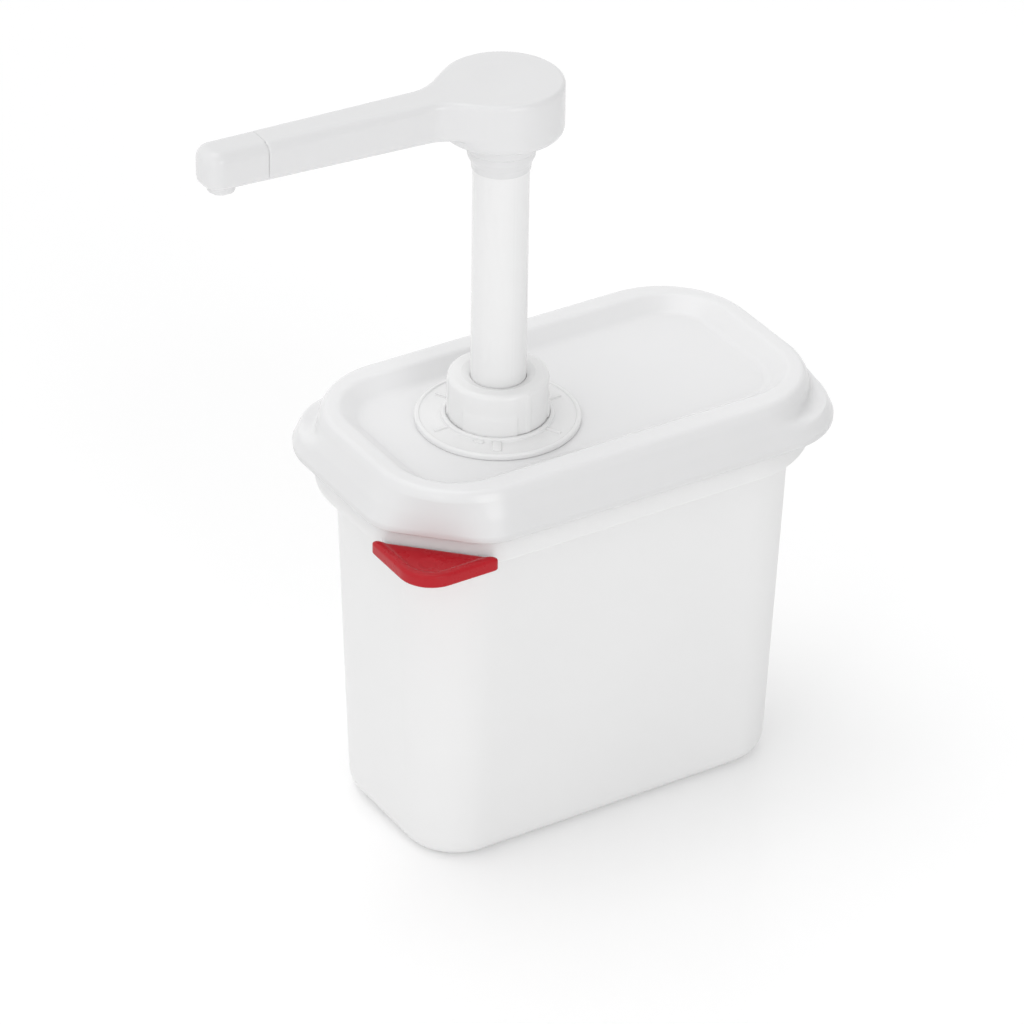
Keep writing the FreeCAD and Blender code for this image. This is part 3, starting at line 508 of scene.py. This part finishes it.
HEAD_RADIUS, HEAD_LOW, HEAD_TOP = 20.6, 259.5, 277.8
ARM_ROOT, ARM_END, ARM_HALF, SEAM = 12.0, 110.0, 6.9, 88.6
ARM_LOW, ARM_TOP = (263.5, 266.5), (HEAD_TOP, 279.4)        # at the root and at the end
ARM_FILLET, ARM_EDGE, END_ROUND = 10.0, 2.4, 5.6
HEAD_EDGE, TOP_EDGE = 2.5, (1.9, 4.2)
DISH, DISH_RADIUS = 0.55, 12.5
NECK_RADIUS, NECK_ROOT = 12.3, 262.0
SOCKET_RADIUS, SOCKET_TOP = 9.6, 262.4
SPOUT_AT, SPOUT_RADIUS, SPOUT_BORE, SPOUT_LOW, SPOUT_ROOT = 102.5, 4.5, 3.2, 263.6, 272.0
SEAM_GAP = 0.02
CELL = 0.55


def edge_rounded(a, b, radius):
    """The part common to two solids (signed distances), its edge rounded."""
    return (np.minimum(np.maximum(a, b), -radius)
            + np.hypot(np.maximum(a + radius, 0), np.maximum(b + radius, 0)))


def corner_filled(a, b, radius):
    """Two solids together, the corner between them filled by a round."""
    return (np.maximum(np.minimum(a, b), radius)
            - np.hypot(np.maximum(radius - a, 0), np.maximum(radius - b, 0)))


def along_arm(ends, s):
    """A value that runs evenly from the arm's root to its end."""
    root, end = ends
    return root + (end - root) * np.clip((s - ARM_ROOT) / (ARM_END - ARM_ROOT), 0, 1)


def press_head(s, w, z):
    """Signed distance to the head, arm and tip as one body: s runs out along the arm, w across."""
    from_axis = np.hypot(s, w)
    disc = from_axis - HEAD_RADIUS
    strip = np.maximum(edge_rounded(np.abs(w) - ARM_HALF, s - ARM_END, END_ROUND), -s)
    plan = corner_filled(disc, strip, ARM_FILLET)
    arm = edge_rounded(plan, along_arm(ARM_LOW, s) - z, ARM_EDGE)
    drum = edge_rounded(disc, HEAD_LOW - z, HEAD_EDGE)
    beneath = np.clip(1.5 * (disc - plan), 0.02, 2.0)
    body = corner_filled(arm, drum, beneath)
    dish = DISH * (1 - np.clip(from_axis / DISH_RADIUS, 0, 1) ** 2) ** 2
    top = along_arm(ARM_TOP, s) - dish
    return edge_rounded(body, z - top, along_arm(TOP_EDGE, s))


def head_solid(s, w, z):
    """The head and arm up to the seam, with the neck below and the stem's socket."""
    whole = edge_rounded(press_head(s, w, z), s - (SEAM - SEAM_GAP), 0.1)
    from_axis = np.hypot(s, w)
    neck = edge_rounded(from_axis - NECK_RADIUS, np.maximum(NECK_LOW - z, z - NECK_ROOT), 0.5)
    whole = corner_filled(whole, neck, 0.6)
    socket = np.maximum(from_axis - SOCKET_RADIUS, z - SOCKET_TOP)
    return edge_rounded(whole, -socket, 0.3)


def tip_solid(s, w, z):
    """The end piece beyond the seam, with its spout."""
    whole = edge_rounded(press_head(s, w, z), (SEAM + SEAM_GAP) - s, 0.1)
    from_spout = np.hypot(s - SPOUT_AT, w)
    spout = edge_rounded(from_spout - SPOUT_RADIUS, np.maximum(SPOUT_LOW - z, z - SPOUT_ROOT), 0.5)
    whole = corner_filled(whole, spout, 0.5)
    bore = np.maximum(from_spout - SPOUT_BORE, z - SPOUT_ROOT)
    return edge_rounded(whole, -bore, 0.4)


def slope(solid, points):
    """The solid's distance at each point and the direction in which it grows."""
    small = 0.01
    steps = small * np.eye(3)
    grow = [solid(*(points + step).T) - solid(*(points - step).T) for step in steps]
    return solid(*points.T), np.stack(grow, axis=1) / (2 * small)


def onto_surface(solid, points, times):
    """Points moved onto the solid's surface in a few steps."""
    for _ in range(times):
        distance, direction = slope(solid, points)
        square = np.maximum((direction ** 2).sum(axis=1), 0.05)
        points = points - direction * (distance / square)[:, None]
    return points


def skin_of(solid, low, high, cell):
    """An even quad mesh over a solid: a point in each cell that its skin crosses, moved onto it."""
    axes = [np.arange(a, b + cell, cell) for a, b in zip(low, high)]
    inside = solid(*np.meshgrid(*axes, indexing="ij")) < 0
    size = [n - 1 for n in inside.shape]
    full = sum(inside[i:size[0] + i, j:size[1] + j, k:size[2] + k].astype(int)
               for i, j, k in product((0, 1), repeat=3))
    crossed = (full > 0) & (full < 8)
    number = np.full(crossed.shape, -1)
    number[crossed] = np.arange(crossed.sum())
    points = np.stack([axes[k][index] + 0.5 * cell
                       for k, index in enumerate(np.nonzero(crossed))], axis=1)
    quads = []
    for turn in range(3):
        order = [(turn + k) % 3 for k in range(3)]
        here, cells = np.transpose(inside, order), np.transpose(number, order)
        first, last = here[:-1, 1:-1, 1:-1], here[1:, 1:-1, 1:-1]
        i, j, k = np.nonzero(first != last)
        quad = np.stack([cells[i, j, k], cells[i, j + 1, k],
                         cells[i, j + 1, k + 1], cells[i, j, k + 1]], axis=1)
        outward = first[i, j, k][:, None]
        quads.append(np.where(outward, quad, quad[:, ::-1]))
    quads = np.concatenate(quads)
    points = onto_surface(solid, points, 5)
    ends = np.concatenate([quads[:, (k, (k + 1) % 4)] for k in range(4)])
    for _ in range(4):
        total, count = np.zeros_like(points), np.zeros(len(points))
        np.add.at(total, ends[:, 0], points[ends[:, 1]])
        np.add.at(count, ends[:, 0], 1)
        points = onto_surface(solid, 0.5 * points + 0.5 * total / count[:, None], 2)
    return points, quads


def out_along_arm(points):
    """From (along the arm, across it, up) to the frame's axes."""
    s, w, z = points.T
    c, t = math.cos(ARM_TURN), math.sin(ARM_TURN)
    return np.column_stack([s * t + w * c, PUMP_Y - s * c + w * t, z])


def arm_piece(name, solid, low, high, node):
    points, quads = skin_of(solid, low, high, CELL)
    add_piece(name, out_along_arm(points), quads, "head", "pump_white", [node], sharp=50.0)


arm_piece("head_shell", head_solid, (-22, -22, 252.0), (SEAM + 1.5, 22, 281.5), "pump_head")
arm_piece("tip_shell", tip_solid, (SEAM - 1.5, -9, 262.5), (ARM_END + 1.5, 9, 281.5), "nozzle_tip")


# ---------------------------------------------------------------- corner tabs and the colour clip

CLIP_X, CLIP_Y, CLIP_LOW, CLIP_HIGH = 53.9, 89.8, 129.1, 133.8
CLIP_SKIN, CLIP_FACE, CLIP_CORNER, CLIP_EDGE = 1.2, 111.2, 12.0, 1.2
CLIP_DISH, CLIP_LIP = 0.55, 2.2     # how deep the dish is, and how wide the lip round it
DIMPLE, DIMPLE_X, DIMPLE_Y = 0.3, CLIP_X - 9.6, CLIP_Y - 9.6
TAB_Z, TAB_HALF, TAB_INSET, TAB_FACE, TAB_CORNER = 131.0, 0.7, 2.6, 107.9, 10.8
SLOT_HALF, SLOT_FACE = 0.85, 103.5
NEAR, FAR = (1, -1, 1), (-1, 1, 1)  # a corner made at +X +Y is mirrored to the near or the far one


def corner_plate(x, y, inset, face, corner):
    """Signed distances in plan to two legs with a round corner at +X +Y and to a diagonal face."""
    legs = edge_rounded(x - (CLIP_X - inset), y - (CLIP_Y - inset), corner)
    return legs, (face - x - y) / math.sqrt(2)


def clip_solid(x, y, z):
    """The clip: a rolled lip along its legs, a shallow dish with a thumb dimple, and a slot."""
    legs, face = corner_plate(x, y, 0, CLIP_FACE, CLIP_CORNER)
    plan = edge_rounded(legs, face, 2.5)
    dish = CLIP_DISH * ease((-legs - CLIP_LIP) / 2.0)
    dimple = DIMPLE * (1 - ease((np.hypot(x - DIMPLE_X, y - DIMPLE_Y) - 2.0) / 1.9))
    block = edge_rounded(plan, z - (CLIP_HIGH - dish - dimple), CLIP_EDGE)
    block = edge_rounded(block, CLIP_LOW - z, 0.5)
    inner, inner_face = corner_plate(x, y, CLIP_SKIN, SLOT_FACE, CLIP_CORNER - CLIP_SKIN)
    slot = np.maximum(np.maximum(inner, inner_face), np.abs(z - TAB_Z) - SLOT_HALF)
    return edge_rounded(block, -slot, 0.15)


def tab_solid(x, y, z):
    """The tab on a cut corner of the container, which goes into the clip's slot."""
    legs, face = corner_plate(x, y, TAB_INSET, TAB_FACE, TAB_CORNER)
    return edge_rounded(edge_rounded(legs, face, 1.5), np.abs(z - TAB_Z) - TAB_HALF, 0.3)


def corner_mesh(solid, low, high, cell, mirror):
    points, quads = skin_of(solid, (20, 55, low), (55, 90, high), cell)
    return points * mirror, quads.tolist()


tabs = [corner_mesh(tab_solid, 129.5, 133.5, 0.5, mirror) for mirror in (NEAR, FAR)]
add_piece("container_tub", *joined(make_container(), *tabs), "container", "container_pp",
          ["container"])
add_piece("clip_body", *corner_mesh(clip_solid, 128.4, 134.8, 0.45, NEAR), "clip", "clip_red",
          ["colour_clip"], sharp=45.0)


# ---------------------------------------------------------------- the CAD nodes keep their shape

for subpart in frame["record"]["subparts"]:
    node = frame["nodes"][subpart["node"]]
    # the stem tube also wears the paler copy of pump_white, as painted light
    look = "pump_white_painted_light" if subpart["node"] == "stem_tube" else subpart["material_slot"]
    for socket in node.material_slots:
        socket.material = MATERIALS[look]
    if not node.material_slots:
        node.data.materials.append(MATERIALS[look])


# ---------------------------------------------------------------- floor, light and camera

FLOOR_HALF = 3.0
AIM = (0, 0, 0.15)
DIM_SIDE = (0.55, 0.55, 0.63)       # the part of the sky that is dimmed
CAMERA_TURN = 57.84, 31.93, 0.92    # azimuth, elevation and roll in degrees
CAMERA_DISTANCE, CAMERA_TARGET = 1758.16, (12.89, -28.60, 120.0)
CAMERA_LENS, CAMERA_SENSOR = 183.0, 36.0


def add_floor():
    """A plain pale floor with a faint reflection; it glows a little, so that it fades to white."""
    half = FLOOR_HALF
    mesh = bpy.data.meshes.new("floor")
    mesh.from_pydata([(-half, -half, 0), (half, -half, 0), (half, half, 0), (-half, half, 0)],
                     [], [(0, 1, 2, 3)])
    floor = bpy.data.objects.new("floor", mesh)
    bpy.context.scene.collection.objects.link(floor)
    material = bpy.data.materials.new("floor")
    material.use_nodes = True
    shader = material.node_tree.nodes["Principled BSDF"]
    for socket, value in (("Base Color", (0.96, 0.96, 0.96, 1)), ("Roughness", 0.25),
                          ("Specular IOR Level", 0.4), ("Emission Color", (1, 1, 1, 1)),
                          ("Emission Strength", 0.07)):
        shader.inputs[socket].default_value = value
    mesh.materials.append(material)


def add_area_light(name, place, aim, size, power):
    light = bpy.data.lights.new(name, "AREA")
    light.size, light.energy = size, power
    lamp = bpy.data.objects.new(name, light)
    lamp.location = place
    lamp.rotation_euler = (Vector(aim) - Vector(place)).to_track_quat("-Z", "Y").to_euler()
    bpy.context.scene.collection.objects.link(lamp)


def add_world():
    """A white sky, dimmed on one side."""
    world = bpy.data.worlds.new("studio")
    bpy.context.scene.world = world
    world.use_nodes = True
    nodes, links = world.node_tree.nodes, world.node_tree.links
    background = nodes["Background"]
    background.inputs["Color"].default_value = (1, 1, 1, 1)
    place = nodes.new("ShaderNodeTexCoord")
    towards = nodes.new("ShaderNodeVectorMath")
    towards.operation = "DOT_PRODUCT"
    towards.inputs[1].default_value = Vector(DIM_SIDE).normalized()
    links.new(place.outputs["Generated"], towards.inputs[0])
    dim = nodes.new("ShaderNodeMapRange")
    dim.interpolation_type = "SMOOTHSTEP"
    for socket, value in (("From Min", 0.3), ("From Max", 0.95), ("To Min", 1.01), ("To Max", 0.5)):
        dim.inputs[socket].default_value = value
    links.new(towards.outputs["Value"], dim.inputs["Value"])
    links.new(dim.outputs["Result"], background.inputs["Strength"])


def add_camera():
    """The photograph's viewpoint: far off with a long lens, looking down at the near corner."""
    azimuth, elevation, roll = (math.radians(degrees) for degrees in CAMERA_TURN)
    back = Vector((math.sin(azimuth) * math.cos(elevation),
                   -math.cos(azimuth) * math.cos(elevation), math.sin(elevation)))
    level = Vector((math.cos(azimuth), math.sin(azimuth), 0))
    upright = back.cross(level)
    right = level * math.cos(roll) + upright * math.sin(roll)
    up = upright * math.cos(roll) - level * math.sin(roll)
    data = bpy.data.cameras.new("camera")
    data.sensor_width, data.lens = CAMERA_SENSOR, CAMERA_LENS
    camera = bpy.data.objects.new("camera", data)
    place = Matrix((right, up, back)).transposed().to_4x4()
    place.translation = (Vector(CAMERA_TARGET) + CAMERA_DISTANCE * back) * MM
    camera.matrix_world = place
    bpy.context.scene.collection.objects.link(camera)
    bpy.context.scene.camera = camera


add_floor()
add_world()
add_area_light("key", (-0.3, -0.3, 2.4), AIM, 1.4, 8)
add_area_light("glint", (1.0, -1.6, 0.85), (0.04, -0.07, 0.15), 0.14, 0.7)
add_area_light("fill", (2.0, -0.1, 0.9), AIM, 0.9, 8)
add_camera()
bpy.context.scene.view_settings.view_transform = "Standard"
